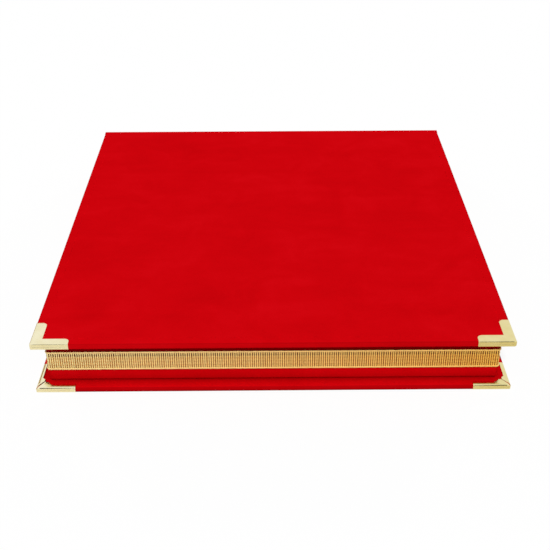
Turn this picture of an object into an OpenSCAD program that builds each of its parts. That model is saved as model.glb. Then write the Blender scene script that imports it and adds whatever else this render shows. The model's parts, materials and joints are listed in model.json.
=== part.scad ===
// Velvet-covered album in a hinged case. Millimetres, +Z up, +Y towards the spine.
// The origin is the centre of the footprint, on the surface that the album lies on.

/* [Case] */
// Width of the covers, along the spine
case_w = 240; // [200:1:300]
// Depth of the closed case, from the front edge to the back of the spine
case_d = 272; // [220:1:320]
// Height of the closed case
case_h = 30; // [28:0.5:40]

/* [Covers] */
// Thickness of the greyboard in the lid, the base and the spine
board_t = 2.4; // [1.8:0.1:2.8]
// Thickness of the velvet, pile and backing together
velvet_t = 0.5; // [0.45:0.05:0.8]
// Width of the velvet turned in over the board's inner face
turn_in = 16; // [14:0.5:24]
// Thickness of the lining paper
lining_t = 0.4; // [0.2:0.05:0.5]
// Gap between a lining panel and the wall or edge beside it
lining_gap = 0.4; // [0.3:0.1:2]

/* [Hinges] */
// Outer radius of the velvet where a cover turns into the spine
hinge_r = 4; // [3.5:0.1:5]
// Flat cloth between a cover board and the bend
hinge_flat = 3; // [2:0.1:4]
// Flat cloth between the bend and the spine board
spine_flat = 1; // [0.5:0.1:1.5]

/* [Tray] */
// How far the covers stand out beyond the tray's velvet
overhang = 6.2; // [5:0.1:10]
// Thickness of the board in the tray's walls
wall_t = 2.6; // [2:0.1:3.5]
// Gap between the tray's rim and the closed lid
lid_gap = 0.3; // [0.2:0.05:0.5]
// Gap between the tray's side walls and the closed spine
spine_gap = 0.6; // [0.5:0.1:1.5]

/* [Braid] */
// Height of the gold braid round the tray
braid_h = 10.5; // [6:0.1:16]
// Thickness of the braid
braid_t = 0.9; // [0.5:0.1:1.5]
// Height of the braid's middle above the middle of the case
braid_rise = -0.1; // [-3:0.1:3]

/* [Brass corners] */
// Length of each arm of a corner piece
arm_l = 19; // [12:0.5:30]
// Width of the plate on the cover's outer face
plate_w = 5.7; // [4:0.1:9]
// Radius of the rounded corner at the end of an arm
arm_end_r = 2.6; // [0.5:0.1:3]
// Thickness of the sheet brass
brass_t = 0.35; // [0.2:0.05:0.4]
// Width of the flap folded over the cover's inner face
flap_w = 2.4; // [1.5:0.1:3]
// Width of the flap's wider tab, next to the mitre
tab_w = 3.9; // [3.1:0.1:4.5]
// Length of that tab along the edge
tab_l = 3; // [2:0.5:6]
// Distance from the corner to the start of a flap's mitre
mitre_gap = 0.5; // [0.4:0.1:1.5]
// Play between a corner piece and the bed pressed into the velvet
bed_gap = 0.1; // [0.05:0.05:0.3]

/* [Leaves] */
// Thickness of a leaf's card
card_t = 1.6; // [0.8:0.1:1.7]
// Gap between a leaf and each side wall
leaf_side_gap = 2; // [1:0.1:3.5]
// Gap between a leaf and the front wall
leaf_front_gap = 2.5; // [1.5:0.1:3.5]
// Radius of a leaf's front corners
leaf_corner_r = 4; // [1:0.5:10]
// Width of one clear strip
strip_w = 23; // [14:0.5:24]
// Distance from one clear strip to the next
strip_pitch = 26; // [25:0.5:28]
// Thickness of a clear strip
strip_t = 0.3; // [0.1:0.05:0.3]
// Margin between the clear strips and the leaf's front edge
strip_margin = 5; // [3:0.5:12]

/* [Binding] */
// Distance of the leaves' turning axis from the back of the case
axis_inset = 15; // [14:0.1:20]
// Thickness of a linen guard
guard_t = 0.3; // [0.2:0.05:0.4]
// Free linen between the turning axis and a leaf's card
guard_free = 14; // [13:0.5:20]
// Linen glued on a leaf's card
guard_lap = 8; // [5:0.5:15]
// Width of the binding bar and of the riser below it
bar_w = 6.5; // [5:0.1:7]
// Distance from the turning axis to the bar's front face
bar_setback = 1.5; // [1:0.1:1.5]
// Thickness of the binding bar
bar_t = 2; // [1.5:0.1:3]
// Gap between the binding bar's end and the side wall
bar_end_gap = 6; // [3:0.5:20]
// Distance from a binding post to the end of the binding bar
post_inset = 34; // [10:1:60]
// Outer radius of a binding post
post_r = 1.9; // [1.6:0.1:2.1]
// Radius of a binding post's head
post_head_r = 2.8; // [2.4:0.1:2.9]
// Thickness of a binding post's head
post_head_t = 1; // [0.6:0.1:2]
// Radius of a binding screw's shank
screw_r = 1.1; // [0.8:0.1:1.2]
// Length of a binding screw's shank
screw_l = 8; // [4:0.5:10]
// Radius of a binding screw's head
screw_head_r = 3; // [2.4:0.1:3.2]
// Thickness of a binding screw's head
screw_head_t = 1; // [0.6:0.1:1.5]
// Width and depth of the slot in a screw's head
slot_w = 0.7; // [0.4:0.1:0.8]
// Radial play of a post in its hole and of a screw in its post
fit_gap = 0.05; // [0.02:0.01:0.1]

/* [Hidden] */
$fn = 64;

// Number of leaves, the first one on top
leaf_n = 8;
// Overlap that keeps a cut clear of the face that it starts from
cut = 1;

// Covers
cover_t = board_t + 2 * velvet_t;
front_y = -case_d / 2;
back_y = case_d / 2;
cover_d = case_d - hinge_r - hinge_flat;
cover_back_y = front_y + cover_d;
spine_z = hinge_r + spine_flat;
spine_h = case_h - 2 * spine_z;

// Tray
wall_top = case_h - cover_t - lid_gap;
tray_w = case_w - 2 * overhang;
tray_front_y = front_y + overhang;
tray_back_y = back_y - cover_t - lining_t - spine_gap;
skin_in = velvet_t + wall_t;
room_in = skin_in + lining_t;
room_w = tray_w - 2 * room_in;
room_front_y = tray_front_y + room_in;
braid_z = (case_h - braid_h) / 2 + braid_rise;

// Leaves
floor_z = cover_t + lining_t;
leaf_pitch = (case_h - 2 * floor_z) / leaf_n;
axis_y = back_y - axis_inset;
axis_z = case_h / 2;
leaf_w = room_w - 2 * leaf_side_gap;
leaf_front_y = room_front_y + leaf_front_gap;
leaf_back_y = axis_y - guard_free;
strip_n = floor((leaf_w + strip_pitch - strip_w) / strip_pitch);
strip_back_y = leaf_back_y - guard_lap - strip_margin;

// Binding
bundle_h = leaf_n * guard_t;
bundle_z = axis_z - bundle_h / 2;
bar_y = axis_y + bar_setback;
bar_l = room_w - 2 * bar_end_gap;
bar_z = bundle_z + bundle_h;
post_x = bar_l / 2 - post_inset;
post_y = bar_y + bar_w / 2;
post_l = bar_z + bar_t - floor_z;

// Height of a leaf's middle
function leaf_z(i) = axis_z + ((leaf_n - 1) / 2 - i) * leaf_pitch;

// Height of a guard's middle where the guards lie in one bundle
function bundle_layer_z(i) = bundle_z + (leaf_n - i - 0.5) * guard_t;

// A block w wide, centred across the album, from y0 to y1 and from z0 to z1
module slab(w, y0, y1, z0, z1) {
    translate([-w / 2, y0, z0]) cube([w, y1 - y0, z1 - z0]);
}

// A profile drawn in Y and Z, drawn out across the album
module across(w) {
    rotate([90, 0, 90]) linear_extrude(w, center = true) children();
}

// Children made for a cover that lies outer face down with its front edge at y = 0
module at_base() {
    translate([0, front_y, 0]) children();
}
module at_lid() {
    translate([0, front_y, case_h]) mirror([0, 0, 1]) children();
}
module at_spine() {
    translate([0, back_y, spine_z]) rotate([90, 0, 0]) children();
}

// ---- Covers ----

module cover_board(depth, front_in) {
    color("tan") slab(case_w - 2 * velvet_t, front_in, depth, velvet_t, cover_t - velvet_t);
}

// Velvet over the outer face and round the edges, turned in on the inner face
module velvet_wrap(depth, front_in, front_turn) {
    difference() {
        slab(case_w, 0, depth, 0, cover_t);
        slab(case_w - 2 * velvet_t, front_in, depth + cut, velvet_t, cover_t - velvet_t);
        slab(case_w - 2 * turn_in, front_turn, depth + cut, velvet_t, cover_t + cut);
    }
}

// The wrap of a lid or base, with the beds that its two brass corners are pressed into
module cover_velvet() {
    color("crimson") difference() {
        velvet_wrap(cover_d, velvet_t, turn_in);
        corner_at(-1) corner_solid(bed_gap);
        corner_at(1) corner_solid(bed_gap);
    }
}

module spine_velvet() {
    color("crimson") at_spine() velvet_wrap(spine_h, -cut, -cut);
}

// Lining paper that fills the field between the turn-ins and laps over them
module cover_lining(w, y0, depth, fill_y0) {
    color("ivory") union() {
        slab(w, y0, depth, cover_t, cover_t + lining_t);
        slab(case_w - 2 * turn_in, fill_y0, depth, cover_t - velvet_t, cover_t + lining_t / 2);
    }
}

module base_lining() {
    at_base() cover_lining(room_w - 2 * lining_gap, room_front_y - front_y + lining_gap, cover_d, turn_in);
}

module lid_lining() {
    at_lid() cover_lining(room_w - 2 * lining_gap, room_front_y - front_y + lining_gap, cover_d, turn_in);
}

module spine_lining() {
    at_spine() cover_lining(room_w - 2 * lining_gap, 0, spine_h, 0);
}

// ---- Cloth hinges ----

// Velvet from the base's underside round to the back of the spine
module hinge_cloth() {
    color("crimson") across(case_w) {
        difference() {
            intersection() {
                translate([back_y - hinge_r, hinge_r]) circle(hinge_r);
                translate([back_y - hinge_r, 0]) square(hinge_r);
            }
            translate([back_y - hinge_r, hinge_r]) circle(hinge_r - velvet_t);
        }
        translate([cover_back_y, 0]) square([hinge_flat, velvet_t]);
        translate([back_y - velvet_t, hinge_r]) square([velvet_t, spine_flat]);
    }
}

module lower_hinge_cloth() {
    hinge_cloth();
}

module upper_hinge_cloth() {
    translate([0, 0, case_h]) mirror([0, 0, 1]) hinge_cloth();
}

// ---- Tray ----

module wall_front() {
    color("tan") slab(tray_w - 2 * velvet_t, tray_front_y + velvet_t, tray_front_y + skin_in,
        cover_t, wall_top - velvet_t);
}

// side is -1 on the left and 1 on the right
module wall_side(side) {
    x0 = side * (tray_w / 2 - velvet_t - wall_t / 2);
    color("tan") translate([x0, 0, 0]) slab(wall_t, tray_front_y + skin_in, tray_back_y - velvet_t,
        cover_t, wall_top - velvet_t);
}

// Velvet over the walls' outer faces, rims and back ends
module tray_velvet() {
    color("crimson") difference() {
        slab(tray_w, tray_front_y, tray_back_y, cover_t, wall_top);
        slab(tray_w - 2 * velvet_t, tray_front_y + velvet_t, tray_back_y - velvet_t,
            cover_t - cut, wall_top - velvet_t);
        slab(tray_w - 2 * skin_in, tray_front_y + skin_in, tray_back_y + cut,
            cover_t - cut, wall_top + cut);
    }
}

module tray_lining() {
    color("ivory") difference() {
        slab(tray_w - 2 * skin_in, tray_front_y + skin_in, tray_back_y, cover_t, wall_top);
        slab(room_w, room_front_y, tray_back_y + cut, cover_t - cut, wall_top + cut);
    }
}

module braid() {
    color("gold") difference() {
        slab(tray_w + 2 * braid_t, tray_front_y - braid_t, tray_back_y, braid_z, braid_z + braid_h);
        slab(tray_w, tray_front_y, tray_back_y + cut, braid_z - cut, braid_z + braid_h + cut);
    }
}

// ---- Brass corners ----

// Children made for a front left corner at the origin, on the left (-1) or the right (1)
module corner_at(side) {
    translate([side * case_w / 2, 0, 0]) scale_x(-side) children();
}

module scale_x(sign) {
    if (sign < 0) mirror([1, 0, 0]) children();
    else children();
}

// Children, and the same mirrored about the corner's diagonal
module both_arms() {
    children();
    mirror([1, -1, 0]) children();
}

module arm_plate_2d(grow) {
    l = arm_l + grow;
    w = plate_w + grow;
    square([l - arm_end_r, w]);
    square([l, w - arm_end_r]);
    translate([l - arm_end_r, w - arm_end_r]) circle(arm_end_r);
}

module arm_flap_2d(grow) {
    polygon([
        [mitre_gap - grow, 0],
        [arm_l + grow, 0],
        [arm_l + grow, flap_w + grow],
        [mitre_gap + tab_w + tab_l + grow, flap_w + grow],
        [mitre_gap + tab_w + tab_l - (tab_w - flap_w) + grow, tab_w + grow],
        [mitre_gap + tab_w, tab_w + grow]
    ]);
}

// Outer plate, two edge walls and two inner flaps. The bed in the velvet is grown by its play.
module corner_solid(grow) {
    both_arms() {
        linear_extrude(brass_t) arm_plate_2d(grow);
        cube([arm_l + grow, brass_t, cover_t]);
        translate([0, 0, cover_t - brass_t]) linear_extrude(brass_t) arm_flap_2d(grow);
    }
}

module corner(side) {
    color("palegoldenrod") corner_at(side) corner_solid(0);
}

// ---- Leaves ----

module leaf_2d() {
    x = leaf_w / 2 - leaf_corner_r;
    y = leaf_front_y + leaf_corner_r;
    translate([-leaf_w / 2, y]) square([leaf_w, leaf_back_y - y]);
    translate([-x, leaf_front_y]) square([2 * x, leaf_corner_r + cut]);
    translate([-x, y]) circle(leaf_corner_r);
    translate([x, y]) circle(leaf_corner_r);
}

module leaf(i) {
    color("dimgray") translate([0, 0, leaf_z(i) - card_t / 2]) linear_extrude(card_t) leaf_2d();
}

// Clear strips on both faces of a leaf, side by side along the spine
module strips(i) {
    color("lightcyan") for (face = [-1, 1], row = [0 : strip_n - 1]) {
        x = (row - (strip_n - 1) / 2) * strip_pitch;
        z = leaf_z(i) + face * (card_t + strip_t) / 2;
        translate([x, 0, 0]) slab(strip_w, leaf_front_y + strip_margin, strip_back_y,
            z - strip_t / 2, z + strip_t / 2);
    }
}

// Linen from the bundle under the bar to the top face of a leaf's card
module guard(i) {
    bundle = bundle_layer_z(i) - guard_t / 2;
    card = leaf_z(i) + card_t / 2;
    color("wheat") difference() {
        across(bar_l) polygon([
            [bar_y + bar_w, bundle],
            [axis_y, bundle],
            [leaf_back_y, card],
            [leaf_back_y - guard_lap, card],
            [leaf_back_y - guard_lap, card + guard_t],
            [leaf_back_y, card + guard_t],
            [axis_y, bundle + guard_t],
            [bar_y + bar_w, bundle + guard_t]
        ]);
        for (side = [-1, 1]) post_hole(side);
    }
}

// ---- Binding ----

module post_hole(side) {
    translate([side * post_x, post_y, floor_z - cut])
        cylinder(r = post_r + fit_gap, h = post_l + 2 * cut);
}

module binding_riser() {
    color("tan") difference() {
        slab(bar_l, bar_y, bar_y + bar_w, floor_z, bundle_z);
        for (side = [-1, 1]) {
            post_hole(side);
            translate([side * post_x, post_y, floor_z - cut])
                cylinder(r = post_head_r + fit_gap, h = post_head_t + cut);
        }
    }
}

module binding_bar() {
    color("black") difference() {
        slab(bar_l, bar_y, bar_y + bar_w, bar_z, bar_z + bar_t);
        for (side = [-1, 1]) post_hole(side);
    }
}

// Hollow post, headed at its foot
module post(side) {
    color("goldenrod") translate([side * post_x, post_y, floor_z]) difference() {
        union() {
            cylinder(r = post_head_r, h = post_head_t);
            cylinder(r = post_r, h = post_l);
        }
        translate([0, 0, post_l - screw_l - cut])
            cylinder(r = screw_r + fit_gap, h = screw_l + 2 * cut);
    }
}

// Slotted screw that closes a post
module screw(side) {
    color("goldenrod") translate([side * post_x, post_y, bar_z + bar_t]) difference() {
        union() {
            cylinder(r = screw_head_r, h = screw_head_t);
            translate([0, 0, -screw_l]) cylinder(r = screw_r, h = screw_l + screw_head_t / 2);
        }
        translate([-screw_head_r - cut, -slot_w / 2, screw_head_t - slot_w])
            cube([2 * (screw_head_r + cut), slot_w, slot_w + cut]);
    }
}

// ---- Nodes ----

at_base() cover_board(cover_d, velvet_t);  // base_board
at_base() cover_velvet();  // base_velvet
base_lining();
wall_front();
wall_side(-1);  // wall_left
wall_side(1);  // wall_right
tray_velvet();
tray_lining();
braid();
binding_riser();
binding_bar();
post(-1);  // post_left
post(1);  // post_right
screw(-1);  // screw_left
screw(1);  // screw_right
lower_hinge_cloth();
at_spine() cover_board(spine_h, 0);  // spine_board
spine_velvet();
spine_lining();
upper_hinge_cloth();
at_lid() cover_board(cover_d, velvet_t);  // lid_board
at_lid() cover_velvet();  // lid_velvet
lid_lining();
at_base() corner(-1);  // corner_base_left
at_base() corner(1);  // corner_base_right
at_lid() corner(-1);  // corner_lid_left
at_lid() corner(1);  // corner_lid_right
for (i = [0 : leaf_n - 1]) {
    leaf(i);
    strips(i);
    guard(i);
}
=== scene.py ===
"""Looks of the velvet album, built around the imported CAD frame. Lengths are metres, +Y runs to the spine."""

import json
import math
import random

import bpy
import numpy as np
from mathutils import Matrix, Vector, noise

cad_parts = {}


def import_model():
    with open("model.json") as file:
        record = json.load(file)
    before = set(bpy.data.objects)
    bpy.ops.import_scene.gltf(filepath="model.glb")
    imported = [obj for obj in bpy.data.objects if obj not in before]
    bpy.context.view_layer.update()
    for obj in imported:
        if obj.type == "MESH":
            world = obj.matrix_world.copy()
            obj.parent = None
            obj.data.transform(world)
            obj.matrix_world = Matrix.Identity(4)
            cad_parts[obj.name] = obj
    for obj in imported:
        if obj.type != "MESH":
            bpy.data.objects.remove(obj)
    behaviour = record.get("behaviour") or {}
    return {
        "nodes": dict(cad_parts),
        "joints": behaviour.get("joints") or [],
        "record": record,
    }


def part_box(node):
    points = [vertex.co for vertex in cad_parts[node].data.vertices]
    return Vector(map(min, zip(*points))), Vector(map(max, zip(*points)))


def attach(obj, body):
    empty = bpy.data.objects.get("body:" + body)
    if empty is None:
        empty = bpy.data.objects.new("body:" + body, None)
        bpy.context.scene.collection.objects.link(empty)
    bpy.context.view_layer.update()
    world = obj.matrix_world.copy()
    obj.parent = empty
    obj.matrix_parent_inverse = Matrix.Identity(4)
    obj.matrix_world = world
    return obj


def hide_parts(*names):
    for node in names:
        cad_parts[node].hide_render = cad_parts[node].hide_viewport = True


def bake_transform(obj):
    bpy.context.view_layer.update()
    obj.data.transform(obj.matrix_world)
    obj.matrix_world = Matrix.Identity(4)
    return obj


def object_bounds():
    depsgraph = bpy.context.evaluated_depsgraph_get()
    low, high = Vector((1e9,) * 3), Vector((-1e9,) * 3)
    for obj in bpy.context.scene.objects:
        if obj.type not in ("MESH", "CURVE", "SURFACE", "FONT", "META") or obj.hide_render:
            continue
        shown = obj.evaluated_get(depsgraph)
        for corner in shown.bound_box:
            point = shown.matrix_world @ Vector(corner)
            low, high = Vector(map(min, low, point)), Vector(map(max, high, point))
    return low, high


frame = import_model()
cad_low, cad_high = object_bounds()

MM = 0.001
SEED = 7

# ---- Sizes read from the frame ----

lid_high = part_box("lid_velvet")[1]
spine_low, spine_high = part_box("spine_velvet")
tray_low, tray_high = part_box("tray_velvet")
braid_low, braid_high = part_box("braid")
wall_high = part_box("wall_front")[1]
joints = {j["name"]: j for j in frame["joints"]}
leaf_axis = Vector(joints["leaf_1_turn"]["pos_m"])
leaf_count = sum(1 for n in frame["nodes"] if n.startswith("leaf_"))

# ---- Sizes that only the looks have ----

NAP = 0.15 * MM            # how far the velvet stays inside the CAD faces, so that the brass stands proud
VELVET_EDGE_R = 0.85 * MM  # roundness of the velvet over a board's edge
VELVET_GRID = 5 * MM       # spacing of the velvet's mesh lines where it lies flat
VELVET_RIPPLE = 0.05 * MM  # how far the flat velvet swells up and down, and how many swells to a metre
RIPPLE_SCALE = 28
CLOTH_T = 0.5 * MM         # thickness of the hinges' velvet
LID_RIM = 0.4 * MM         # how much the turned-in velvet thickens the lid's edge, outside the tray
RIM_SLOPE = 5 * MM         # how far in from the edge that thickness runs out
HINGE_BEND_R = 4 * MM      # outer radius of the hinges' bends, in the CAD
TRAY_CORNER_R = 1.2 * MM   # upright corners of the tray, seen from above

PLATE_W = 5.7 * MM         # brass corners: the plate, its rounded ends and the folds' outer radii
ARM_END_R = 2.6 * MM
CORNER_R = 0.45 * MM
PLATE_BEND_R = 0.9 * MM
FLAP_BEND_R = 1.15 * MM
BRASS_T = 0.3 * MM
FLAP_W = 2.4 * MM          # the inner flap, and the wider tab beside its mitre
TAB_W = 3.9 * MM
TAB_FROM = 7.4 * MM
TAB_FULL = 5.9 * MM
GROOVE_D = 0.06 * MM       # the fine line along the middle of a corner's edge

BRAID_RISE_LOW = 0.6 * MM  # how far the braid's edges lie above those of its solid, as in the photograph
BRAID_RISE_HIGH = 1.05 * MM
GROUND_T = 0.3 * MM        # the braid's woven ground, and how far in from its edges the ribs start
RIB_INSET = 0.55 * MM
RIB_PITCH = 1.085 * MM
RIB_W = 0.76 * MM
RIB_BEADS = 5
RIB_BACK = 0.2 * MM        # how far a rib's sides stand off the wall, and its crown and its beads off those
RIB_CROWN = 0.2 * MM
BEAD_CROWN = 0.22 * MM
SELVEDGE_R = 0.48 * MM
SELVEDGE_OUT = 0.42 * MM   # how far the cords' middles stand off the wall

FILM_T = 0.07 * MM         # the clear strips: thickness, the gap under them and how far they bow out
FILM_GAP = 0.03 * MM
FILM_BOW = 0.16 * MM
LINEN_T = 0.3 * MM         # the guards' linen in the CAD, and how thick it is drawn, clear of its neighbours
LINEN_DRAWN_T = 0.27 * MM

# softened edges of the CAD nodes that stay, by material slot
BEVELS = {"lining_paper": 0.12 * MM, "leaf_card": 0.25 * MM, "riser_wood": 0.5 * MM,
          "black_bar": 0.4 * MM, "screw_brass": 0.2 * MM}


def srgb(red, green, blue):
    """An 8-bit colour as the linear values that a shader takes."""
    def linear(c):
        c /= 255
        return c / 12.92 if c <= 0.04045 else ((c + 0.055) / 1.055) ** 2.4
    return linear(red), linear(green), linear(blue), 1.0


# ---- Materials ----

class Shader:
    """A material with a Principled shader, and short ways to add and join its nodes."""

    def __init__(self, name, **sockets):
        self.material = bpy.data.materials.new(name)
        self.material.use_nodes = True
        self.nodes = self.material.node_tree.nodes
        self.links = self.material.node_tree.links
        self.principled = self.nodes["Principled BSDF"]
        for socket, value in sockets.items():
            self.principled.inputs[socket.replace("_", " ")].default_value = value
        self.place = self.nodes.new("ShaderNodeTexCoord").outputs["Object"]

    def add(self, kind, inputs=None, **settings):
        """A node with its settings, and its inputs linked to sockets or set to values."""
        made = self.nodes.new(kind)
        for key, value in settings.items():
            setattr(made, key, value)
        for socket, value in (inputs or {}).items():
            if isinstance(value, bpy.types.NodeSocket):
                self.links.new(value, made.inputs[socket])
            else:
                made.inputs[socket].default_value = value
        return made

    def stretched(self, scale):
        """The object's own coordinates, scaled along X, Y and Z."""
        return self.add("ShaderNodeMapping", {"Vector": self.place, "Scale": scale}).outputs["Vector"]

    def noise(self, scale, detail=3.0, rough=0.5, vector=None, distortion=0.0):
        inputs = {"Vector": vector or self.place, "Scale": scale, "Detail": detail,
                  "Roughness": rough, "Distortion": distortion}
        return self.add("ShaderNodeTexNoise", inputs).outputs["Fac"]

    def ramp(self, value, *stops):
        """A colour ramp of (place, colour) stops."""
        made = self.add("ShaderNodeValToRGB", {"Fac": value})
        elements = made.color_ramp.elements
        while len(elements) < len(stops):
            elements.new(0.5)
        for element, (place, colour) in zip(elements, stops):
            element.position = place
            element.color = colour
        return made.outputs["Color"]

    def math(self, operation, a, b=0.0):
        return self.add("ShaderNodeMath", {0: a, 1: b}, operation=operation).outputs[0]

    def mix(self, factor, a, b, blend="MIX"):
        made = self.add("ShaderNodeMix", data_type="RGBA", blend_type=blend)
        for socket, value in zip((made.inputs[0], made.inputs[6], made.inputs[7]), (factor, a, b)):
            if isinstance(value, bpy.types.NodeSocket):
                self.links.new(value, socket)
            else:
                socket.default_value = value
        return made.outputs[2]

    def spread(self, value, low, high):
        """A 0 to 1 value mapped onto low to high."""
        inputs = {"Value": value, "To Min": low, "To Max": high}
        return self.add("ShaderNodeMapRange", inputs).outputs["Result"]

    def coordinate(self, axis):
        """One of the object's own coordinates."""
        return self.add("ShaderNodeSeparateXYZ", {"Vector": self.place}).outputs[axis]

    def share(self, value, low, high):
        """0 where a value is at low and 1 where it is at high."""
        inputs = {"Value": value, "From Min": low, "From Max": high}
        return self.add("ShaderNodeMapRange", inputs).outputs["Result"]

    def painted_tint_across_case(self):
        """0 at the case's left side and 1 at its right, for the painted warmer light towards the right."""
        return self.share(self.coordinate("X"), cad_low.x, cad_high.x)

    def wave(self, scale, distortion, axis):
        """Fine parallel bands, one after another along an axis."""
        inputs = {"Vector": self.place, "Scale": scale, "Distortion": distortion}
        return self.add("ShaderNodeTexWave", inputs, bands_direction=axis).outputs["Fac"]

    def painted_shade_upper_edge(self):
        """1 along the rounded upper edge of a flat piece, where painted shade holds back the key lamp's
        stronger light, else 0.
        """
        facing = self.nodes.new("ShaderNodeTexCoord").outputs["Normal"]
        up = self.add("ShaderNodeSeparateXYZ", {"Vector": facing}).outputs["Z"]
        white, black = (1, 1, 1, 1), (0, 0, 0, 1)
        return self.ramp(up, (0.1, black), (0.35, white), (0.8, white), (0.99, black))

    def set(self, socket, value):
        self.links.new(value, self.principled.inputs[socket])

    def bump(self, height, distance, strength=1.0):
        inputs = {"Height": height, "Distance": distance, "Strength": strength}
        self.set("Normal", self.add("ShaderNodeBump", inputs).outputs["Normal"])


def velvet_lint(look):
    """0.4 on tiny specks, in about one cell of a cell pattern out of ten, else 0."""
    cells = look.add("ShaderNodeTexVoronoi", {"Vector": look.place, "Scale": 62.0, "Randomness": 1.0})
    speck = look.math("LESS_THAN", cells.outputs["Distance"], 0.022)
    chance = look.add("ShaderNodeSeparateColor", {"Color": cells.outputs["Color"]}).outputs[0]
    rare = look.math("GREATER_THAN", chance, 0.9)
    return look.math("MULTIPLY", look.math("MULTIPLY", speck, rare), 0.4)


def velvet_material():
    """Short red pile: a fine grain, faint patches where the nap lies another way, lint, and painted shade in
    creases and along rounded upper edges.
    """
    look = Shader("velvet", Roughness=0.95, Specular_IOR_Level=0.0, Sheen_Weight=0.12,
                  Sheen_Roughness=0.4, Sheen_Tint=srgb(255, 14, 30))
    fibres = look.noise(2600, 2.0, 0.65)
    tufts = look.noise(900, 3.0, 0.6)
    patches = look.noise(34, 4.0, 0.62, distortion=0.8)
    strokes = look.noise(60, 3.0, 0.6, look.stretched((0.25, 1.0, 1.0)), 0.4)
    lie = look.math("ADD", look.math("MULTIPLY", patches, 0.6), look.math("MULTIPLY", strokes, 0.4))
    colour = look.ramp(lie, (0.3, srgb(203, 3, 11)), (0.5, srgb(211, 4, 13)), (0.72, srgb(218, 8, 18)))
    grain = look.ramp(fibres, (0.3, srgb(226, 226, 226)), (0.7, srgb(255, 255, 255)))
    colour = look.mix(0.55, colour, grain, "MULTIPLY")
    colour = look.mix(velvet_lint(look), colour, srgb(236, 130, 122))
    # painted shade: the velvet's colour darkens where ambient occlusion finds nearby surfaces, in creases, at
    # the tray's foot and under the lid's edge
    occlusion_for_painted_shade = look.add("ShaderNodeAmbientOcclusion", {"Distance": 6 * MM}, samples=6).outputs["AO"]
    fold = look.ramp(occlusion_for_painted_shade, (0.42, srgb(206, 190, 190)), (0.96, srgb(255, 255, 255)))
    colour = look.mix(1.0, colour, fold, "MULTIPLY")
    # painted shade: the velvet's colour is darkened on rounded upper edges, which face the key lamp more
    # squarely than the flat top
    look.set("Base Color", look.mix(look.painted_shade_upper_edge(), colour, srgb(222, 222, 222), "MULTIPLY"))
    look.bump(look.math("ADD", fibres, look.math("MULTIPLY", tufts, 0.8)), 0.06 * MM, 0.5)
    return look.material


def brass_material():
    """Polished pale-gold sheet with faint smudges and fine rubbing marks, more golden to the right in a
    painted warmer reflection.
    """
    look = Shader("corner_brass", Metallic=1.0)
    smudge = look.noise(160, 3.0, 0.55)
    rubbed = look.noise(700, 3.0, 0.6, look.stretched((0.12, 1.0, 1.0)))
    pale = look.ramp(smudge, (0.3, srgb(236, 226, 184)), (0.7, srgb(244, 237, 203)))
    right_painted_warmth = look.ramp(smudge, (0.3, srgb(222, 208, 144)), (0.7, srgb(231, 219, 163)))
    # painted light: the left end is paler and the right end more golden, as if the light there were warmer
    look.set("Base Color", look.mix(look.painted_tint_across_case(), pale, right_painted_warmth))
    both = look.math("ADD", look.math("MULTIPLY", smudge, 0.7), look.math("MULTIPLY", rubbed, 0.3))
    look.set("Roughness", look.spread(both, 0.05, 0.16))
    look.bump(rubbed, 0.001 * MM, 0.2)
    return look.material


def thread_material(name, left, right):
    """Gold metallic thread, its colour running from left to right as painted warmer light on the right, with a
    fine lamella glint.
    """
    look = Shader(name, Metallic=0.35, Specular_IOR_Level=0.5)
    # painted light: paler on the left and deeper gold on the right, as if the light there were warmer
    colour = look.mix(look.painted_tint_across_case(), left, right)
    strands = look.noise(1500, 3.0, 0.7)
    tint = look.ramp(strands, (0.25, srgb(230, 214, 202)), (0.6, srgb(255, 255, 255)))
    look.set("Base Color", look.mix(0.6, colour, tint, "MULTIPLY"))
    look.set("Roughness", look.spread(strands, 0.38, 0.6))
    lamella = look.noise(5200, 1.0, 0.5)
    look.bump(lamella, 0.04 * MM, 0.5)
    return look.material


def ground_material():
    """The woven ground between the ribs: gold-brown in the middle, dark red-brown beside the selvedges."""
    look = Shader("braid_ground", Roughness=0.7)
    threads = look.noise(1800, 2.0, 0.6)
    middle = (braid_low.z + braid_high.z) / 2
    away = look.math("ABSOLUTE", look.math("SUBTRACT", look.coordinate("Z"), middle))
    edge = look.share(away, 2.9 * MM, 3.6 * MM)
    pale = look.ramp(threads, (0.35, srgb(124, 70, 28)), (0.65, srgb(216, 154, 78)))
    tan = look.ramp(threads, (0.35, srgb(104, 46, 4)), (0.65, srgb(186, 108, 28)))
    # painted light: paler gold on the left and browner on the right, as if the light there were warmer
    gold = look.mix(look.painted_tint_across_case(), pale, tan)
    dark = look.ramp(threads, (0.35, srgb(56, 12, 2)), (0.65, srgb(96, 40, 8)))
    look.set("Base Color", look.mix(edge, gold, dark))
    look.bump(threads, 0.08 * MM, 0.6)
    return look.material


def lining_material():
    """Ivory watered paper: soft wavy bands over fine straight ribs, and a slight sheen."""
    look = Shader("lining_paper", Roughness=0.55, Specular_IOR_Level=0.35)
    inputs = {"Vector": look.stretched((1.0, 0.5, 1.0)), "Scale": 38.0, "Distortion": 7.0,
              "Detail": 3.0, "Detail Scale": 1.6}
    bands = look.add("ShaderNodeTexWave", inputs, bands_direction="X").outputs["Fac"]
    ribs = look.wave(900.0, 0.6, "X")
    look.set("Base Color", look.ramp(bands, (0.15, srgb(235, 226, 203)), (0.85, srgb(241, 233, 212))))
    look.set("Roughness", look.spread(bands, 0.42, 0.6))
    look.bump(look.math("ADD", ribs, look.math("MULTIPLY", bands, 0.3)), 0.02 * MM, 0.5)
    return look.material


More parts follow.
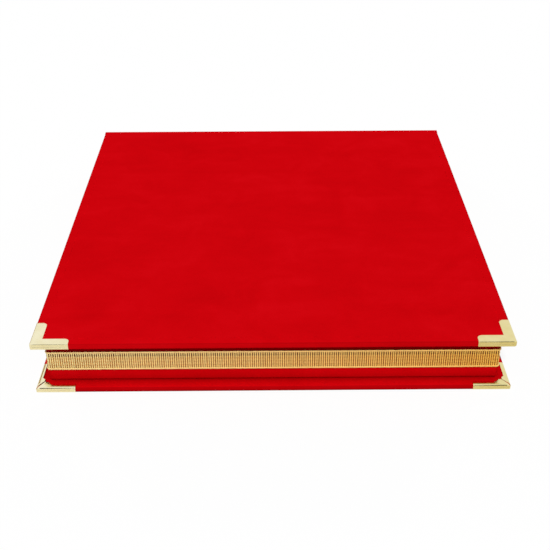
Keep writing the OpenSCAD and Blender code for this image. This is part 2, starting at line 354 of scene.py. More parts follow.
def card_material():
    """Matt black stock card with a fine felt grain."""
    look = Shader("leaf_card", Roughness=0.8, Specular_IOR_Level=0.3)
    felt = look.noise(1400, 4.0, 0.6)
    cloud = look.noise(40, 3.0, 0.5)
    tone = look.math("ADD", look.math("MULTIPLY", felt, 0.5), look.math("MULTIPLY", cloud, 0.5))
    look.set("Base Color", look.ramp(tone, (0.3, srgb(20, 20, 22)), (0.7, srgb(36, 36, 39))))
    look.set("Roughness", look.spread(cloud, 0.7, 0.88))
    look.bump(felt, 0.03 * MM, 0.5)
    return look.material


def film_material():
    """Clear film as it looks over black card: a dark grey that is painted sheen, with faint ripples that break
    its reflections.
    """
    look = Shader("clear_strip", Roughness=0.2, Alpha=0.6, Specular_IOR_Level=0.3, IOR=1.49)
    ripple = look.noise(60, 2.0, 0.5, look.stretched((1.0, 0.3, 1.0)))
    # painted sheen: the clear film's grey stands in for its surface reflection over the black card
    look.set("Base Color", look.ramp(ripple, (0.3, srgb(112, 116, 120)), (0.7, srgb(128, 132, 135))))
    look.bump(ripple, 0.2 * MM, 0.5)
    return look.material


def seal_material():
    """The frosted line of glue along the foot of a strip."""
    look = Shader("strip_seal", Roughness=0.6, Alpha=0.7)
    dots = look.noise(2200, 2.0, 0.6)
    look.set("Base Color", look.ramp(dots, (0.4, srgb(120, 124, 128)), (0.6, srgb(168, 171, 173))))
    look.bump(dots, 0.05 * MM, 0.4)
    return look.material


def linen_material():
    """Plain-weave linen: warp and weft waves at right angles."""
    look = Shader("linen", Roughness=0.88, Sheen_Weight=0.1, Sheen_Roughness=0.6)
    warp, weft = look.wave(620.0, 0.8, "X"), look.wave(620.0, 0.8, "Y")
    slub = look.noise(300, 3.0, 0.6, look.stretched((0.2, 1.0, 1.0)))
    weave = look.math("MULTIPLY", look.math("ADD", warp, weft), 0.5)
    tone = look.math("ADD", look.math("MULTIPLY", weave, 0.6), look.math("MULTIPLY", slub, 0.4))
    look.set("Base Color", look.ramp(tone, (0.25, srgb(168, 150, 118)), (0.75, srgb(222, 208, 178))))
    look.bump(weave, 0.08 * MM, 0.7)
    return look.material


def wood_material():
    """Planed beech with fine pores along the grain."""
    look = Shader("riser_wood", Roughness=0.5)
    grain = look.noise(240, 4.0, 0.6, look.stretched((0.05, 1.0, 1.0)), 0.6)
    pores = look.noise(1600, 2.0, 0.5, look.stretched((0.04, 1.0, 1.0)))
    colour = look.ramp(grain, (0.3, srgb(188, 146, 98)), (0.7, srgb(216, 178, 128)))
    look.set("Base Color", look.mix(look.math("GREATER_THAN", pores, 0.66), colour, srgb(150, 108, 66)))
    look.set("Roughness", look.spread(grain, 0.42, 0.58))
    look.bump(pores, 0.04 * MM, 0.4)
    return look.material


def lacquer_material():
    """Black stoving lacquer with a little orange peel."""
    look = Shader("black_bar", Coat_Weight=0.4, Coat_Roughness=0.12)
    peel = look.noise(1300, 2.0, 0.5)
    wear = look.noise(140, 4.0, 0.6)
    look.set("Base Color", look.ramp(wear, (0.35, srgb(18, 18, 19)), (0.7, srgb(34, 34, 36))))
    look.set("Roughness", look.spread(wear, 0.28, 0.42))
    look.bump(peel, 0.02 * MM, 0.4)
    return look.material


def turned_brass_material():
    """Turned brass, a little darker than the corners, with fine rings from the lathe."""
    look = Shader("screw_brass", Metallic=1.0)
    tarnish = look.noise(420, 4.0, 0.6)
    rings = look.noise(3200, 2.0, 0.5, look.stretched((1.0, 1.0, 0.2)))
    look.set("Base Color", look.ramp(tarnish, (0.3, srgb(196, 158, 88)), (0.7, srgb(224, 190, 116))))
    look.set("Roughness", look.spread(tarnish, 0.18, 0.34))
    look.bump(rings, 0.01 * MM, 0.5)
    return look.material


MATERIALS = {
    "velvet": velvet_material(),
    "corner_brass": brass_material(),
    "gold_braid": thread_material("gold_rib", srgb(255, 238, 172), srgb(255, 202, 88)),
    "lining_paper": lining_material(),
    "leaf_card": card_material(),
    "clear_strip": film_material(),
    "linen": linen_material(),
    "riser_wood": wood_material(),
    "black_bar": lacquer_material(),
    "screw_brass": turned_brass_material(),
}
SELVEDGE = thread_material("gold_selvedge", srgb(255, 226, 158), srgb(255, 206, 112))
GROUND = ground_material()
SEAL = seal_material()


# ---- Mesh helpers ----

def make_object(name, points, faces, slot, material=None):
    """A piece of the part, in its slot's material unless another is given."""
    mesh = bpy.data.meshes.new(name)
    mesh.from_pydata([tuple(p) for p in points], [], faces)
    mesh.validate()
    mesh.materials.append(material or MATERIALS[slot])
    made = bpy.data.objects.new(name, mesh)
    bpy.context.scene.collection.objects.link(made)
    return made


def shade(made, angle=35):
    """Smooth shading, broken where two faces meet at more than angle degrees."""
    made.data.shade_smooth()
    made.data.set_sharp_from_angle(angle=math.radians(angle))
    return made


def applied(made, angle=35):
    """The object with its modifiers made part of its mesh."""
    bpy.context.view_layer.update()
    evaluated = made.evaluated_get(bpy.context.evaluated_depsgraph_get())
    made.data = bpy.data.meshes.new_from_object(evaluated)
    made.modifiers.clear()
    return shade(made, angle)


def grid_faces(rows, columns, start=0, wrap=False):
    """Quads over a grid of points that is stored row by row."""
    last = columns if wrap else columns - 1
    return [(start + r * columns + c, start + r * columns + (c + 1) % columns,
             start + (r + 1) * columns + (c + 1) % columns, start + (r + 1) * columns + c)
            for r in range(rows - 1) for c in range(last)]


def tube_faces(rings, columns, start=0):
    """Quads round a tube of closed rings, and a face at each end."""
    last = start + (rings - 1) * columns
    ends = [tuple(range(start, start + columns)), tuple(reversed(range(last, last + columns)))]
    return grid_faces(rings, columns, start, wrap=True) + ends


def join(points, faces, more_points, more_faces):
    """Adds one part's points and faces to those of a larger mesh."""
    faces += [tuple(i + len(points) for i in face) for face in more_faces]
    points += more_points


def add_bevel(made, width, segments, angle):
    """A bevel on the edges that are sharper than angle degrees."""
    edge = made.modifiers.new("edge", "BEVEL")
    edge.width = width
    edge.segments = segments
    edge.limit_method = "ANGLE"
    edge.angle_limit = math.radians(angle)


def arc(centre, radius, start, end, count=6):
    """Points round a centre in a plane, from one angle to another in degrees."""
    turns = [math.radians(start + (end - start) * k / count) for k in range(count + 1)]
    return [(centre[0] + radius * math.cos(a), centre[1] + radius * math.sin(a)) for a in turns]


def steps(low, high, size):
    """Evenly spaced values from low to high, about size apart."""
    count = max(1, round((high - low) / size))
    return [low + (high - low) * k / count for k in range(count + 1)]


def edged(low, high, radius, size, round_low=True, round_high=True):
    """Grid lines along one side of a rounded box: close together where it rounds, size apart elsewhere."""
    count = 5
    bends = [radius * (1 - math.tan(math.pi / 4 * (1 - k / count))) for k in range(count)]
    start = [low + b for b in bends] if round_low else []
    end = [high - b for b in reversed(bends)] if round_high else []
    inner = steps(low + radius * round_low, high - radius * round_high, size)
    return start + inner + end


def rounded_box(name, low, high, radius, size, slot, open_sides="", ripple=0.0, rim=0.0):
    """A box with all edges rounded, on a grid fine enough to carry a cloth's ripple.
    open_sides names sides that stay square, out of -x, +x, -y, +y, -z and +z.
    rim is how far the lower edge hangs below the rest of the lower face, except at the back."""
    lines, inner_low, inner_high = [], [], []
    for k, axis in enumerate("xyz"):
        round_low, round_high = f"-{axis}" not in open_sides, f"+{axis}" not in open_sides
        lines.append(edged(low[k], high[k], radius, size, round_low, round_high))
        inner_low.append(low[k] + radius * round_low)
        inner_high.append(high[k] - radius * round_high)
    index, points, faces = {}, [], []

    def vertex(i, j, k):
        key = (i, j, k)
        if key not in index:
            raw = Vector((lines[0][i], lines[1][j], lines[2][k]))
            core = Vector([min(max(c, a), b) for c, a, b in zip(raw, inner_low, inner_high)])
            out = raw - core
            at = core + out.normalized() * radius if out.length > 1e-9 else raw
            if ripple:
                at.z += ripple * noise.noise(at * RIPPLE_SCALE)
            if rim and raw.z < (low.z + high.z) / 2:
                from_edge = min(raw.x - low.x, high.x - raw.x, raw.y - low.y) - radius
                at.z -= rim * (1 - min(max(from_edge / RIM_SLOPE, 0), 1))
            index[key] = len(points)
            points.append(at)
        return index[key]

    sizes = [len(line) for line in lines]
    for axis in range(3):
        u, v = [a for a in range(3) if a != axis]
        for end in (0, sizes[axis] - 1):
            for a in range(sizes[u] - 1):
                for b in range(sizes[v] - 1):
                    quad = []
                    for da, db in ((0, 0), (1, 0), (1, 1), (0, 1)):
                        where = [0, 0, 0]
                        where[axis], where[u], where[v] = end, a + da, b + db
                        quad.append(vertex(*where))
                    flip = (end == 0) == (axis != 1)
                    faces.append(tuple(reversed(quad)) if flip else tuple(quad))
    return shade(make_object(name, points, faces, slot), 50)


def round_tray(back, spacing):
    """Points and outward directions along the foot of the tray's walls: left, front, right, up to back."""
    half, front, radius = tray_high.x, tray_low.y, TRAY_CORNER_R
    left, ahead, right = Vector((-1, 0, 0)), Vector((0, -1, 0)), Vector((1, 0, 0))
    side_y = steps(front + radius, back, spacing)
    path = [(Vector((-half, y, 0)), left) for y in reversed(side_y)]
    for corner_x, start in ((-half + radius, 180), (half - radius, 270)):
        for x, y in arc((0, 0), 1, start, start + 90)[1:]:
            out = Vector((x, y, 0))
            path.append((Vector((corner_x, front + radius, 0)) + out * radius, out))
        if corner_x < 0:
            front_x = steps(-half + radius, half - radius, spacing)[1:]
            path += [(Vector((x, front, 0)), ahead) for x in front_x]
    return path + [(Vector((half, y, 0)), right) for y in side_y[1:]]


def swept(name, path, profile, slot, material=None):
    """A closed profile of (outward, height) pairs along a path of (point, outward direction) pairs."""
    points = [p + out * d + Vector((0, 0, z)) for p, out in path for d, z in profile]
    return make_object(name, points, tube_faces(len(path), len(profile)), slot, material)


# ---- Velvet ----

def cover_velvet(name, node, body, outside):
    """The velvet over a cover board, its back edge left square where the cloth hinge goes on.
    outside is -1 where the outer face looks down and 1 where it looks up."""
    low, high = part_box(node)
    low, high = low + Vector((NAP, NAP, NAP)), high - Vector((NAP, 0, NAP))
    rim = LID_RIM if outside > 0 else 0.0
    made = rounded_box(name, low, high, VELVET_EDGE_R, VELVET_GRID, "velvet", "+y", VELVET_RIPPLE, rim)
    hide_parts(node, node.replace("velvet", "board"))
    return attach(made, body)


def spine_cloth():
    """The velvet over the spine board, left square at the hinges and on the lined side."""
    low, high = spine_low + Vector((NAP, 0, 0)), spine_high - Vector((NAP, NAP, 0))
    made = rounded_box("spine_velvet_cloth", low, high, VELVET_EDGE_R, VELVET_GRID, "velvet", "-z+z-y")
    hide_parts("spine_velvet", "spine_board")
    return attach(made, "spine")


def tray_cloth():
    """Velvet drawn over the tray's walls and their rims."""
    depth = wall_high.y - tray_low.y
    foot_z, top_z = tray_low.z - NAP, tray_high.z
    foot_r, rim_r, inner_r = 1.5 * MM, 1.1 * MM, 0.6 * MM
    profile = arc((-foot_r, foot_z + foot_r), foot_r, -90, 0)
    profile += [(0, z) for z in steps(foot_z + foot_r, top_z - rim_r, VELVET_GRID)[1:]]
    profile += arc((-rim_r, top_z - rim_r), rim_r, 0, 90)[1:]
    profile += arc((inner_r - depth, top_z - inner_r), inner_r, 90, 180)
    profile.append((-depth, foot_z))
    path = round_tray(tray_high.y, spacing=6 * MM)
    made = swept("tray_velvet_cloth", path, profile, "velvet")
    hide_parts("tray_velvet", "wall_front", "wall_left", "wall_right")
    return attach(shade(made, 50), "root")


def hinge_cloth(name, node, side):
    """Velvet that bends from a cover round to the spine. side is 1 at the lid and -1 at the base."""
    low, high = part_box(node)
    radius = HINGE_BEND_R - NAP
    turn_y = cad_high.y - NAP - radius
    cover_z = cad_high.z - NAP if side > 0 else NAP
    centre_z = cover_z - side * radius
    end_z = low.z if side > 0 else high.z
    outer = [(y, cover_z, 0, side) for y in steps(lid_high.y, turn_y, MM)[:-1]]
    for out_y, out_z in arc((0, 0), 1, 90, 0, 16):
        outer.append((turn_y + radius * out_y, centre_z + side * radius * out_z, out_y, side * out_z))
    outer.append((cad_high.y - NAP, end_z, 1, 0))
    ring = [(y, z) for y, z, _, _ in outer]
    ring += [(y - CLOTH_T * out_y, z - CLOTH_T * out_z) for y, z, out_y, out_z in reversed(outer)]
    columns = steps(cad_low.x + NAP, cad_high.x - NAP, 8 * MM)
    points = [Vector((x, y, z)) for x in columns for y, z in ring]
    made = shade(make_object(name, points, tube_faces(len(columns), len(ring)), "velvet"), 50)
    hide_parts(node)
    start = (0, cad_high.y - NAP, centre_z)
    end = (0, turn_y, cover_z)
    if side < 0:
        start, end = end, start
    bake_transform(made)
    return made


# ---- Brass corners ----

def flap_width(along):
    """Width of the inner flap: a wider tab near the mitre, narrower towards the arm's end."""
    share = min(max((along - TAB_FULL) / (TAB_FROM - TAB_FULL), 0), 1)
    return TAB_W + (FLAP_W - TAB_W) * share


def fold(radius, count=9):
    """Inset and height along a quarter bend, from the flat face to the upright wall."""
    turns = [math.pi / 2 * k / (count - 1) for k in range(count)]
    return [(radius * (1 - math.sin(a)), radius * (1 - math.cos(a))) for a in turns]


def corner_rows(thickness, bend_r):
    """The folded sheet's section as (inset, height, part) rows, from the plate's free edge to the flap's.
    bend_r is the outer radius of the fold beside the plate."""
    turns = [math.pi / 2 * k / 9 for k in range(9)]
    rows = [(PLATE_W - ARM_END_R + ARM_END_R * math.cos(a), 0, "plate") for a in turns]
    rows += [(PLATE_W - ARM_END_R, 0, "plate"), (PLATE_W * 0.3, 0, "plate")]
    rows += [(inset, height, "plate") for inset, height in fold(bend_r)]
    middle, half = thickness / 2, 2 * GROOVE_D
    rows += [(0, middle - half, "wall"), (GROOVE_D, middle, "wall"), (0, middle + half, "wall")]
    rows += [(inset, thickness - height, "flap") for inset, height in reversed(fold(FLAP_BEND_R))]
    return rows + [(share, thickness, "flap_flat") for share in (0.3, 0.6, 0.85, 1.0)]


def along_arm(share, end, start):
    """Distance from the corner at a share of the arm: 0 at its end, 1 at the corner or the mitre.
    The shares 0.55 and 0.75 fall where the tab widens."""
    return float(np.interp(share, (0, 0.55, 0.75, 1), (end, TAB_FROM, TAB_FULL, start)))


def flap_rise(inset, along, slope, bulge, curl):
    """How far a flap stands off the cover: sloping up inwards, domed, or its tab curled up."""
    dome = min(inset, FLAP_W)
    tab = max(TAB_FROM - along, 0) * min(max(inset - FLAP_BEND_R, 0) / (TAB_W - FLAP_BEND_R), 1)
    return slope * inset + bulge * (dome - dome * dome / (2 * FLAP_W)) + curl * tab


def corner_points(arm, thickness, bend_r, front_w, front, side, closed):
    """Points of the sheet's outer skin, row by row. None where the flaps leave the mitre open.
    front_w is the plate's width along the front, front and side say how each flap stands off,
    and closed keeps the fold whole at the corner."""
    shares, turns = (0, 0.02, 0.06, 0.12, 0.25, 0.4, 0.55, 0.62, 0.69, 0.75, 0.84, 0.92, 1), 5
    table = []
    for inset, height, part in corner_rows(thickness, bend_r):
        over = inset - (PLATE_W - ARM_END_R) if part == "plate" else 0
        end = arm - ARM_END_R + math.sqrt(max(ARM_END_R ** 2 - over ** 2, 0)) if over > 0 else arm
        folded = part in ("plate", "wall") or (closed and part == "flap")
        rounding = max(CORNER_R - inset, 0) if folded else CORNER_R
        side_arm, front_arm, turn = [], [], []
        for share in shares:
            d = inset
            if part == "flap_flat":
                width = flap_width(along_arm(share, end, TAB_FULL))
                d = FLAP_BEND_R + (width - FLAP_BEND_R) * inset
            along = along_arm(share, end, d + rounding)
            bent = part.startswith("flap")
            side_arm.append(Vector((d, along, height + bent * flap_rise(d, along, *side))))
            front_arm.insert(0, Vector((along, d, height + bent * flap_rise(d, along, *front))))
        for k in range(1, turns):
            a = math.pi + math.pi / 2 * k / turns
            centre = inset + rounding
            at = Vector((centre + rounding * math.cos(a), centre + rounding * math.sin(a), height))
            turn.append(at if folded else None)
        row = side_arm + turn + front_arm
        if part == "plate":
            for at in row:
                at.y = float(np.interp(at.y, (0, bend_r, PLATE_W, arm), (0, bend_r, front_w, arm)))
        table.append(row)
    return table


def brass_corner(name, node, body, side, outside, front_flap=(0, 0, 0), side_flap=(0, 0, 0),
                 front_w=PLATE_W, bend_r=PLATE_BEND_R, reach=0.0):
    """One folded corner piece. side is -1 left or 1 right, outside is -1 at the base and 1 at the lid.
    Each flap is bent a little by hand: its slope, its dome and the curl of its tab.
    The fold of a lid's left corner is whole at the corner, and the others are slit there."""
    low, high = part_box(node)
    closed = side < 0 < outside
    thickness = high.z - low.z + (LID_RIM if outside > 0 else 0)
    table = corner_points(high.x - low.x + reach, thickness, bend_r, front_w, front_flap, side_flap, closed)
    points, index, faces = [], {}, []
    for r, row in enumerate(table):
        for c, at in enumerate(row):
            if at is not None:
                index[r, c] = len(points)
                x = low.x + at.x if side < 0 else high.x - at.x
                z = low.z + at.z if outside < 0 else high.z - at.z
                points.append(Vector((x, low.y + at.y, z)))
    for r in range(len(table) - 1):
        for c in range(len(table[0]) - 1):
            quad = [(r, c), (r, c + 1), (r + 1, c + 1), (r + 1, c)]
            if all(key in index for key in quad):
                faces.append([index[key] for key in quad])
    if side * outside < 0:
        faces = [tuple(reversed(f)) for f in faces]
    made = make_object(name, points, faces, "corner_brass")
    merge = made.modifiers.new("merge", "WELD")
    merge.merge_threshold = 0.002 * MM
    sheet = made.modifiers.new("sheet", "SOLIDIFY")
    sheet.thickness = BRASS_T
    sheet.offset = -1
    sheet.use_even_offset = True
    add_bevel(made, width=0.06 * MM, segments=2, angle=50)
    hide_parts(node)
    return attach(applied(made, 40), body)


# ---- Braid ----

def along_path(path):
    """Running length at each point of a path, and a function that gives the place at any length."""
    lengths = [0.0]
    for (a, _), (b, _) in zip(path, path[1:]):
        lengths.append(lengths[-1] + (b - a).length)

    def at(along):
        along = min(max(along, 0), lengths[-1])
        k = min(int(np.searchsorted(lengths, along, side="right")) - 1, len(path) - 2)
        share = (along - lengths[k]) / (lengths[k + 1] - lengths[k])
        out = path[k][1].lerp(path[k + 1][1], share).normalized()
        return path[k][0].lerp(path[k + 1][0], share), out
    return lengths[-1], at


def braid_rib(at, along, low, high, draw):
    """One upright rib: half a round cord that swells into beads, its ends tucked behind the selvedges.
    Its width and its lean differ a little from those of its neighbours."""
    width = RIB_W / 2 * draw.uniform(0.88, 1.06)
    lean = draw.uniform(-0.05, 0.05) * MM
    rows, columns, points = 3 * RIB_BEADS, 5, []
    for r in range(rows):
        share = r / (rows - 1)
        swell = 0.5 - 0.5 * math.cos(2 * math.pi * RIB_BEADS * share)
        tuck = min(1, 6 * share, 6 * (1 - share))
        for k in range(columns):
            a = math.pi * k / (columns - 1)
            half = width * (0.74 + 0.34 * swell)
            place, out = at(along + lean * (2 * share - 1) - half * math.cos(a))
            crown = (RIB_CROWN + BEAD_CROWN * swell) * (0.4 + 0.6 * tuck)
            lift = RIB_BACK + crown * math.sin(a)
            points.append(place + out * lift + Vector((0, 0, low + (high - low) * share)))
    return points, grid_faces(rows, columns)


def selvedge(at, length, z, edge):
    """A cord along the braid's edge with a small loop at every rib. edge is -1 below and 1 above."""
    points, sides = [], 7
    places = steps(0, length, RIB_PITCH / 4)
    for along in places:
        place, out = at(along)
        swell = (0.5 + 0.5 * math.cos(2 * math.pi * along / RIB_PITCH)) ** 2
        uneven = 0.1 * noise.noise(Vector((along * 700, z * 900, 0)))
        loop = 0.85 * swell * (0.7 + 0.6 * noise.noise(Vector((along * 1900, 3, z * 500))))
        radius = SELVEDGE_R * (0.9 + 0.08 * swell + uneven)
        for k in range(sides):
            a = 2 * math.pi * k / sides
            lift = radius * math.sin(a)
            if lift * edge > 0:
                lift *= 1 + loop
            points.append(place + out * (SELVEDGE_OUT + radius * math.cos(a)) + Vector((0, 0, z + lift)))
    return points, tube_faces(len(places), sides)


def braid():
    """The gold braid: a woven ground, upright ribs, and a corded edge above and below."""
    draw = random.Random(SEED)
    path = round_tray(braid_high.y, spacing=3 * MM)
    length, at = along_path(path)
    low, high = braid_low.z + BRAID_RISE_LOW, braid_high.z + BRAID_RISE_HIGH
    edge_in, face_in = 0.3 * MM, 0.4 * MM
    profile = [(0.0, low + edge_in), (GROUND_T, low + face_in),
               (GROUND_T, high - face_in), (0.0, high - edge_in)]
    ground = swept("braid_ground", path, profile, "gold_braid", GROUND)
    points, faces = [], []
    for k in range(1, int(length / RIB_PITCH)):
        along = (k + draw.uniform(-0.05, 0.05)) * RIB_PITCH
        join(points, faces, *braid_rib(at, along, low + RIB_INSET, high - RIB_INSET, draw))
    ribs = shade(make_object("braid_ribs", points, faces, "gold_braid"), 60)
    points, faces = [], []
    for z, edge in ((low + 1.25 * SELVEDGE_R, -1), (high - 1.25 * SELVEDGE_R, 1)):
        join(points, faces, *selvedge(at, length, z, edge))
    cords = shade(make_object("braid_selvedges", points, faces, "gold_braid", SELVEDGE), 60)
    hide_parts("braid")
    for piece in (shade(ground), ribs, cords):
        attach(piece, "root")


# ---- Leaves ----

def strip_ring(left, right):
    """A strip's section as (x, distance from the card) pairs: bowed out, most towards its open right edge."""
    section = []
    for k in range(11):
        share = k / 10
        bow = math.sin(math.pi * share ** 0.8) * (0.4 + 0.6 * share)
        section.append((left + (right - left) * share, FILM_GAP + FILM_BOW * bow))
    return section + [(x, away + FILM_T) for x, away in reversed(section)]


def strip_films(number):
    """The clear strips of one leaf: thin bowed films, each with a frosted line of glue along its foot."""
    node = frame["nodes"][f"strips_{number}"]
    card_low, card_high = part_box(f"leaf_{number}")
    low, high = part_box(f"strips_{number}")
    edges = sorted({round(v.co.x, 6) for v in node.data.vertices})
    rows = steps(low.y, high.y, 30 * MM)
    points, faces, sealed = [], [], []
    for left, right in zip(edges[::2], edges[1::2]):
        ring = strip_ring(left, right)
        foot = (0, 1, len(ring) - 2, len(ring) - 1)
        for side, surface in ((-1, card_low.z), (1, card_high.z)):
            start = len(points)
            points += [Vector((x, y, surface + side * away)) for y in rows for x, away in ring]
            more = tube_faces(len(rows), len(ring), start)
            sealed += [all((i - start) % len(ring) in foot for i in face) for face in more]
            faces += [tuple(reversed(face)) for face in more] if side < 0 else more
    made = make_object(f"films_{number}", points, faces, "clear_strip")
    made.data.materials.append(SEAL)
    for polygon, glued in zip(made.data.polygons, sealed):
        polygon.material_index = int(glued)
    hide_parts(f"strips_{number}")
    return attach(shade(made, 50), f"leaf_{number}")


def linen_guard(number):
    """The linen that carries a leaf, from the clamped bundle over the bend to the leaf's card."""
    node = frame["nodes"][f"guard_{number}"]
    low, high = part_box(f"guard_{number}")
    leaf_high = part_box(f"leaf_{number}")[1]
    back = [v.co.z for v in node.data.vertices if v.co.y > high.y - MM]
    bundle_z = (min(back) + max(back)) / 2
    card_z = leaf_high.z + LINEN_T / 2
    line = [(y, bundle_z) for y in reversed(steps(leaf_axis.y, high.y, 2 * MM))]
    for k in range(1, 25):
        share = k / 24
        ease = share * share * (3 - 2 * share)
        y = leaf_axis.y + (leaf_high.y - leaf_axis.y) * share
        line.append((y, bundle_z + (card_z - bundle_z) * ease))
    line += [(y, card_z) for y in reversed(steps(low.y, leaf_high.y, 2 * MM))][1:]
    half = LINEN_DRAWN_T / 2
    ring = [(y, z + half) for y, z in line] + [(y, z - half) for y, z in reversed(line)]
    columns = steps(low.x, high.x, 12 * MM)
    points = [Vector((x, y, z)) for x in columns for y, z in ring]
    faces = tube_faces(len(columns), len(ring))
    made = shade(make_object(f"linen_guard_{number}", points, faces, "linen"), 50)
    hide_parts(f"guard_{number}")
    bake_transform(made)
    return made


# ---- CAD nodes that stay ----

def dress(node, slot):
    made = frame["nodes"][node]
    made.data.materials.clear()
    made.data.materials.append(MATERIALS[slot])
    if slot in BEVELS:
        add_bevel(made, BEVELS[slot], segments=3, angle=40)


def dress_nodes():
    """Materials and softened edges for the CAD nodes that nothing replaces."""
    for row in frame["record"]["subparts"]:
        if not frame["nodes"][row["node"]].hide_render:
            dress(row["node"], row["material_slot"])


# ---- Studio ----

def background_rays(tree):
    """1 for rays that come from the camera, a reflection or through glass, else 0."""
    path = tree.nodes.new("ShaderNodeLightPath")
    total = path.outputs["Is Camera Ray"]
    for name in ("Is Glossy Ray", "Is Transmission Ray"):
        either = tree.nodes.new("ShaderNodeMath")
        either.operation = "MAXIMUM"
        tree.links.new(total, either.inputs[0])
        tree.links.new(path.outputs[name], either.inputs[1])
        total = either.outputs[0]
    return total


def stage_card(name, corners, material):
    """A flat four-cornered card that is part of the studio."""
    mesh = bpy.data.meshes.new(name)
    mesh.from_pydata(corners, [], [(0, 1, 2, 3)])
    mesh.materials.append(material)
    made = bpy.data.objects.new(name, mesh)
    bpy.context.scene.collection.objects.link(made)
    return made


def floor_material():
    """Shows as white with a soft share of the shadow, and throws little light up at the album."""
    dark, white, glow_share = (0.2, 0.2, 0.2, 1), (1, 1, 1, 1), 0.9
    material = bpy.data.materials.new("floor_white")
    material.use_nodes = True
    tree = material.node_tree
    tree.nodes.clear()
    diffuse = tree.nodes.new("ShaderNodeBsdfDiffuse")
    glow = tree.nodes.new("ShaderNodeEmission")
    seen = background_rays(tree)
    tone = tree.nodes.new("ShaderNodeMix")
    tone.data_type = "RGBA"
    tone.inputs[6].default_value = dark
    tone.inputs[7].default_value = white
    tree.links.new(seen, tone.inputs[0])
    tree.links.new(tone.outputs[2], diffuse.inputs["Color"])
    share = tree.nodes.new("ShaderNodeMath")
    share.operation = "MULTIPLY"
    share.inputs[1].default_value = glow_share
    tree.links.new(seen, share.inputs[0])
    mix = tree.nodes.new("ShaderNodeMixShader")
    tree.links.new(share.outputs[0], mix.inputs[0])
    tree.links.new(diffuse.outputs[0], mix.inputs[1])
    tree.links.new(glow.outputs[0], mix.inputs[2])
    out = tree.nodes.new("ShaderNodeOutputMaterial")
    tree.links.new(mix.outputs[0], out.inputs["Surface"])
    return material


def floor():
    size, z = 4.0, cad_low.z - 0.05 * MM
    corners = [(-size, -size, z), (size, -size, z), (size, size, z), (-size, size, z)]
    stage_card("floor", corners, floor_material())


def world(level):
    """An even white surround. It lights the object at level, and shows and mirrors as plain white."""
    made = bpy.data.worlds.new("studio")
    bpy.context.scene.world = made
    made.use_nodes = True
    tree = made.node_tree
    background = tree.nodes["Background"]
    background.inputs["Color"].default_value = (1, 1, 1, 1)
    strength = tree.nodes.new("ShaderNodeMapRange")
    strength.inputs["To Min"].default_value = level
    strength.inputs["To Max"].default_value = 1.0
    tree.links.new(background_rays(tree), strength.inputs["Value"])
    tree.links.new(strength.outputs["Result"], background.inputs["Strength"])


def lamp(name, elevation, azimuth, strength):
    """A soft, distant lamp, in degrees above the floor and round to the left of the front. Metal doesn't
    mirror it."""
    data = bpy.data.lights.new(name, "SUN")
    data.energy = strength
    data.angle = math.radians(5)
    made = bpy.data.objects.new(name, data)
    bpy.context.scene.collection.objects.link(made)
    made.rotation_euler = (math.radians(90 - elevation), 0, math.radians(-azimuth))
    made.visible_glossy = False


def flag(name, low, high, colour):
    """A card that only reflections show, so that the polished metal has an edge or a tint to mirror."""
    corners = [low, (high[0], low[1], low[2]), high, (low[0], high[1], high[2])]
    material = bpy.data.materials.new(name)
    material.use_nodes = True
    material.node_tree.nodes["Principled BSDF"].inputs["Base Color"].default_value = (*colour, 1)
    made = stage_card(name, corners, material)
    made.visible_camera = False
    made.visible_shadow = False
    made.visible_diffuse = False


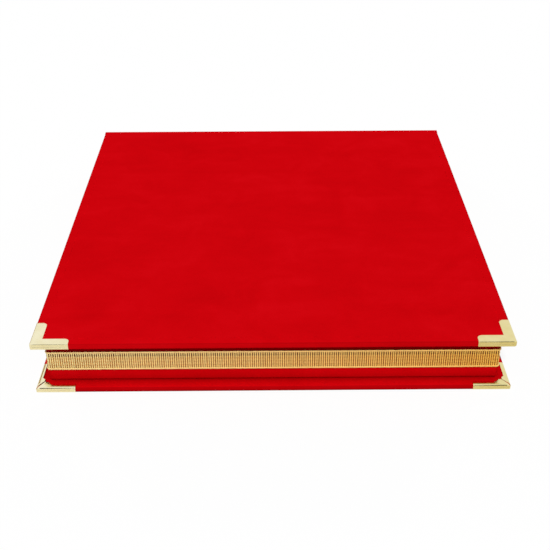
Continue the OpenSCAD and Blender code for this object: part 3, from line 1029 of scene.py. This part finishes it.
def camera():
    """The photograph's viewpoint: in front, 31 degrees above, found from the lid's and base's edges."""
    focal_px, image_px, sensor = 988.3, 550, 36.0
    place = Vector((-1.15 * MM, -535.8 * MM, 307.0 * MM))
    pitch, yaw, roll = math.radians(30.796), math.radians(0.295), math.radians(-0.224)
    data = bpy.data.cameras.new("camera")
    data.sensor_width = sensor
    data.lens = focal_px / image_px * sensor
    data.clip_start, data.clip_end = 0.01, 50
    made = bpy.data.objects.new("camera", data)
    bpy.context.scene.collection.objects.link(made)
    aim = Matrix.Rotation(-yaw, 4, "Z") @ Matrix.Rotation(math.pi / 2 - pitch, 4, "X")
    made.matrix_world = Matrix.Translation(place) @ aim @ Matrix.Rotation(roll, 4, "Z")
    bpy.context.scene.camera = made


def studio():
    """The camera, the light, the floor, and the cards that the brass mirrors. Their places are in metres."""
    bpy.context.scene.view_settings.view_transform = "Standard"
    camera()
    world(level=0.3)
    lamp("key", elevation=45.5, azimuth=6, strength=2.78)
    lamp("back_left", elevation=14, azimuth=145, strength=0.4)
    lamp("back_right", elevation=14, azimuth=-145, strength=0.4)
    floor()
    dark, brown = (0.08, 0.07, 0.04), (0.36, 0.24, 0.11)
    pale, straw = (0.95, 0.91, 0.77), (0.88, 0.81, 0.58)
    for side, name in ((-1, "front_left_flag"), (1, "front_right_flag")):
        flag(name, (side * 0.42, -1.6, 0.0), (side * 0.62, -1.6, 1.2), dark)
    flag("left_flag", (-1.6, 0.75, 0.0), (-0.4, 1.55, 1.0), brown)
    flag("left_card", (-0.4, -0.6, 0.0), (0.0, -0.137, 0.0), pale)
    flag("right_card", (0.0, -0.6, 0.0), (0.4, -0.137, 0.0), straw)


# ---- The album ----

def album():
    cover_velvet("base_velvet_cloth", "base_velvet", "root", -1)
    cover_velvet("lid_velvet_cloth", "lid_velvet", "lid", 1)
    spine_cloth()
    tray_cloth()
    hinge_cloth("lower_hinge_velvet", "lower_hinge_cloth", -1)
    hinge_cloth("upper_hinge_velvet", "upper_hinge_cloth", 1)
    brass_corner("brass_base_left", "corner_base_left", "root", -1, -1, front_flap=(0.12, 0, 0.12),
                 side_flap=(0, 0.55, 0), reach=0.8 * MM)
    brass_corner("brass_base_right", "corner_base_right", "root", 1, -1, front_flap=(0.1, 0, 0.03))
    brass_corner("brass_lid_left", "corner_lid_left", "lid", -1, 1, front_w=4.7 * MM, bend_r=0.5 * MM)
    brass_corner("brass_lid_right", "corner_lid_right", "lid", 1, 1, front_flap=(0.08, 0, 0.1),
                 front_w=5.4 * MM)
    braid()
    for number in range(1, leaf_count + 1):
        strip_films(number)
        linen_guard(number)
    dress_nodes()


studio()
album()
